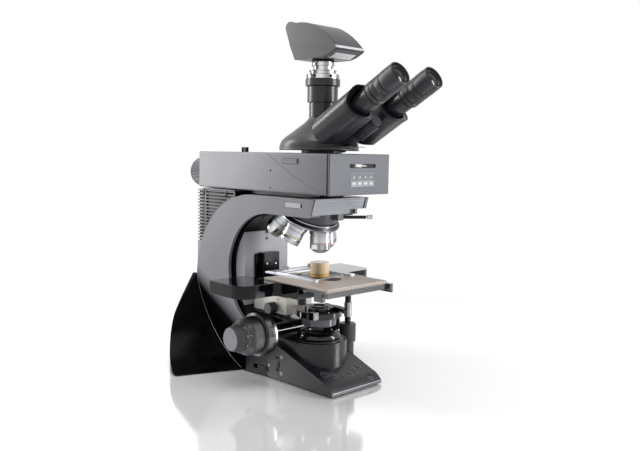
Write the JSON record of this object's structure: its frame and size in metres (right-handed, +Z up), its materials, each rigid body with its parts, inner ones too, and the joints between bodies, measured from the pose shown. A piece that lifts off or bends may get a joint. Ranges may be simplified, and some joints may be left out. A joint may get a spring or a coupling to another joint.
{
  "type": "materials microscope",
  "caption": "Upright reflected and transmitted light materials microscope: C-shaped stand with wings, light box, tilted objective revolver, cross stage, condenser, binocular head and camera.",
  "frame": {"origin": "centre of the bounding box's footprint, on the bench under the feet; the optical axis is the vertical line at X 0, Y -68.5 mm", "axes": "+Z up, -Y towards the user and the eyepieces, +X to the user's right"},
  "size_m": [0.33, 0.521, 0.5575],
  "materials": {
    "anthracite_paint": "satin, fine texture",
    "casting_paint": "painted casting, satin",
    "bottom_plate": "zinc plated",
    "black_shell": "high gloss",
    "front_glass": "semi gloss",
    "foot_rubber": "matt",
    "sink_metal": "black anodised",
    "head_paint": "painted casting, semi gloss",
    "adapter_chrome": "polished",
    "camera_paint": "painted casting, satin",
    "lens_glass": "clear",
    "slider_plastic": "satin",
    "slider_steel": "turned",
    "turret_metal": "polished rim, black body",
    "objective_chrome": "satin chrome with one coloured ring",
    "eyepiece_black": "satin with rubber cup",
    "stage_anodised": "black anodised, satin",
    "stage_coating": "hard coating, semi gloss",
    "insert_black": "satin",
    "holder_steel": "bright",
    "specimen_resin": "cast resin with a ceramic top",
    "drive_black": "semi gloss",
    "knob_black": "satin",
    "bracket_cream": "satin",
    "wheel_black": "ribbed",
    "key_plastic": "satin with a light ring"
  },
  "bodies": {
    "stand": {"base_housing": "anthracite_paint", "base_plate": "bottom_plate", "rubber_feet": "foot_rubber", "rear_wings": "black_shell", "column_frame": "casting_paint", "side_panels": "anthracite_paint", "heat_sink": "sink_metal", "column_front_plate": "anthracite_paint", "nosepiece_holder": "casting_paint", "illuminator_rear_cover": "anthracite_paint", "illuminator_front_cover": "anthracite_paint", "illuminator_front_panel": "front_glass", "lamp_housing": "head_paint", "lenses": "lens_glass", "head_body": "head_paint", "photo_tube": "head_paint", "camera_mount": "adapter_chrome", "camera_body": "camera_paint", "focus_housing": "casting_paint"},
    "stage_lift": {"stage_carrier": "casting_paint", "stage_lower_plate": "stage_anodised", "xy_post": "drive_black"},
    "stage_y": {"stage_middle_plate": "stage_anodised"},
    "stage_x": {"stage_top_plate": "stage_coating", "stage_insert": "insert_black", "specimen_holder": "holder_steel"},
    "specimen": {"specimen": "specimen_resin"},
    "y_drive": {"y_knob": "knob_black"},
    "x_drive": {"x_knob": "knob_black"},
    "coarse_drive": {"coarse_knob": "knob_black", "focus_shaft": "knob_black"},
    "fine_drive": {"fine_knob": "knob_black"},
    "torque_ring": {"torque_ring": "knob_black"},
    "condenser_carrier": {"condenser_bracket": "bracket_cream", "condenser": "drive_black"},
    "condenser_drive": {"condenser_knob": "knob_black"},
    "condenser_lever": {"condenser_lever": "drive_black"},
    "field_ring": {"field_ring": "knob_black"},
    "brightness_wheel": {"brightness_wheel": "wheel_black"},
    "intensity_wheel": {"intensity_wheel": "wheel_black"},
    "revolver": {"turret": "turret_metal", "objective_red": "objective_chrome", "objective_yellow": "objective_chrome", "objective_green": "objective_chrome", "objective_blue": "objective_chrome", "objective_white": "objective_chrome"},
    "pod_left": {"pod_left": "head_paint"},
    "pod_right": {"pod_right": "head_paint"},
    "eyepiece_left": {"eyepiece_left": "eyepiece_black"},
    "eyepiece_right": {"eyepiece_right": "eyepiece_black"},
    "upper_slider": {"upper_slider": "slider_plastic"},
    "lower_slider": {"lower_slider": "slider_plastic"},
    "nose_slider": {"nose_slider": "slider_steel"},
    "key_1": {"key_1": "key_plastic"},
    "key_2": {"key_2": "key_plastic"},
    "key_3": {"key_3": "key_plastic"},
    "key_4": {"key_4": "key_plastic"},
    "key_5": {"key_5": "key_plastic"},
    "key_6": {"key_6": "key_plastic"},
    "key_7": {"key_7": "key_plastic"}
  },
  "joints": [
    {"name": "stage_focus", "type": "slide", "parent": "stand", "child": "stage_lift", "axis": [0, 0, 1], "range_m": [-0.005, 0.0065]},
    {"name": "stage_y_travel", "type": "slide", "parent": "stage_lift", "child": "stage_y", "axis": [0, 1, 0], "range_m": [-0.02, 0.02]},
    {"name": "stage_x_travel", "type": "slide", "parent": "stage_y", "child": "stage_x", "axis": [1, 0, 0], "range_m": [-0.025, 0.025]},
    {"name": "specimen_turn", "type": "hinge", "parent": "stage_x", "child": "specimen", "pos_m": [0, -0.06852, 0.17], "axis": [0, 0, 1], "range_deg": [-180, 180]},
    {"name": "y_knob_turn", "type": "hinge", "parent": "stage_lift", "child": "y_drive", "pos_m": [0.0765, -0.05852, 0.06], "axis": [0, 0, 1], "range_deg": [-360, 360]},
    {"name": "x_knob_turn", "type": "hinge", "parent": "stage_lift", "child": "x_drive", "pos_m": [0.0765, -0.05852, 0.03], "axis": [0, 0, 1], "range_deg": [-450, 450]},
    {"name": "coarse_turn", "type": "hinge", "parent": "stand", "child": "coarse_drive", "pos_m": [-0.1, -0.02852, 0.0793], "axis": [-1, 0, 0], "range_deg": [-185, 239]},
    {"name": "fine_turn", "type": "hinge", "parent": "stand", "child": "fine_drive", "pos_m": [-0.13, -0.02852, 0.0793], "axis": [-1, 0, 0], "continuous": true},
    {"name": "torque_turn", "type": "hinge", "parent": "stand", "child": "torque_ring", "pos_m": [-0.09, -0.02852, 0.0793], "axis": [-1, 0, 0], "range_deg": [-20, 20]},
    {"name": "condenser_focus", "type": "slide", "parent": "stage_lift", "child": "condenser_carrier", "axis": [0, 0, 1], "range_m": [-0.004, 0.0015]},
    {"name": "condenser_knob_turn", "type": "hinge", "parent": "condenser_carrier", "child": "condenser_drive", "pos_m": [-0.036, 0.00548, 0.107], "axis": [-1, 0, 0], "range_deg": [-75, 30]},
    {"name": "condenser_lever_swing", "type": "hinge", "parent": "condenser_carrier", "child": "condenser_lever", "pos_m": [0, -0.06852, 0.112], "axis": [0, 0, 1], "range_deg": [-20, 20]},
    {"name": "field_ring_turn", "type": "hinge", "parent": "stand", "child": "field_ring", "pos_m": [0, -0.06852, 0.07], "axis": [0, 0, 1], "range_deg": [-30, 30]},
    {"name": "brightness_turn", "type": "hinge", "parent": "stand", "child": "brightness_wheel", "pos_m": [-0.04272, -0.03462, 0.0265], "axis": [0, 1, 0], "range_deg": [-140, 140]},
    {"name": "intensity_turn", "type": "hinge", "parent": "stand", "child": "intensity_wheel", "pos_m": [-0.03755, 0.00348, 0.0135], "axis": [0, 0, 1], "range_deg": [-140, 140]},
    {"name": "revolver_turn", "type": "hinge", "parent": "stand", "child": "revolver", "pos_m": [0, -0.03292, 0.235], "axis": [0, -0.4115, 0.9114], "continuous": true},
    {"name": "pod_left_swing", "type": "hinge", "parent": "stand", "child": "pod_left", "pos_m": [0, -0.12962, 0.37838], "axis": [0, -0.866, 0.5], "range_deg": [-18.7, 3.4]},
    {"name": "pod_right_swing", "type": "hinge", "parent": "stand", "child": "pod_right", "pos_m": [0, -0.12962, 0.37838], "axis": [0, -0.866, 0.5], "range_deg": [-3.4, 18.7]},
    {"name": "eyepiece_left_turn", "type": "hinge", "parent": "pod_left", "child": "eyepiece_left", "pos_m": [-0.0364, -0.20056, 0.4355], "axis": [0, -0.866, 0.5], "range_deg": [-90, 90]},
    {"name": "eyepiece_right_turn", "type": "hinge", "parent": "pod_right", "child": "eyepiece_right", "pos_m": [0.0364, -0.20056, 0.4355], "axis": [0, -0.866, 0.5], "range_deg": [-90, 90]},
    {"name": "upper_slider_pull", "type": "slide", "parent": "stand", "child": "upper_slider", "axis": [-1, 0, 0], "range_m": [0, 0.022]},
    {"name": "lower_slider_pull", "type": "slide", "parent": "stand", "child": "lower_slider", "axis": [-1, 0, 0], "range_m": [0, 0.022]},
    {"name": "nose_slider_pull", "type": "slide", "parent": "stand", "child": "nose_slider", "axis": [0.8387, -0.5446, 0], "range_m": [0, 0.014]},
    {"name": "key_1_press", "type": "slide", "parent": "stand", "child": "key_1", "axis": [0, 0.3399, -0.9404], "range_m": [0, 0.0012], "stiffness_N_per_m": 250, "springref_m": -0.0008},
    {"name": "key_2_press", "type": "slide", "parent": "stand", "child": "key_2", "axis": [0, 0.3399, -0.9404], "range_m": [0, 0.0012], "stiffness_N_per_m": 250, "springref_m": -0.0008},
    {"name": "key_3_press", "type": "slide", "parent": "stand", "child": "key_3", "axis": [0, 0.3399, -0.9404], "range_m": [0, 0.0012], "stiffness_N_per_m": 250, "springref_m": -0.0008},
    {"name": "key_4_press", "type": "slide", "parent": "stand", "child": "key_4", "axis": [0, 0.3399, -0.9404], "range_m": [0, 0.0012], "stiffness_N_per_m": 250, "springref_m": -0.0008},
    {"name": "key_5_press", "type": "slide", "parent": "stand", "child": "key_5", "axis": [0, 0.3399, -0.9404], "range_m": [0, 0.0012], "stiffness_N_per_m": 250, "springref_m": -0.0008},
    {"name": "key_6_press", "type": "slide", "parent": "stand", "child": "key_6", "axis": [0, 0.3399, -0.9404], "range_m": [0, 0.0012], "stiffness_N_per_m": 250, "springref_m": -0.0008},
    {"name": "key_7_press", "type": "slide", "parent": "stand", "child": "key_7", "axis": [0, 0.3399, -0.9404], "range_m": [0, 0.0012], "stiffness_N_per_m": 250, "springref_m": -0.0008}
  ],
  "couplings": [
    {"joint": "coarse_turn", "follows": "stage_focus", "rad_per_m": 628.32},
    {"joint": "y_knob_turn", "follows": "stage_y_travel", "rad_per_m": 314.16},
    {"joint": "x_knob_turn", "follows": "stage_x_travel", "rad_per_m": 314.16},
    {"joint": "condenser_knob_turn", "follows": "condenser_focus", "rad_per_m": 314.16},
    {"joint": "pod_right_swing", "follows": "pod_left_swing", "ratio": -1}
  ]
}
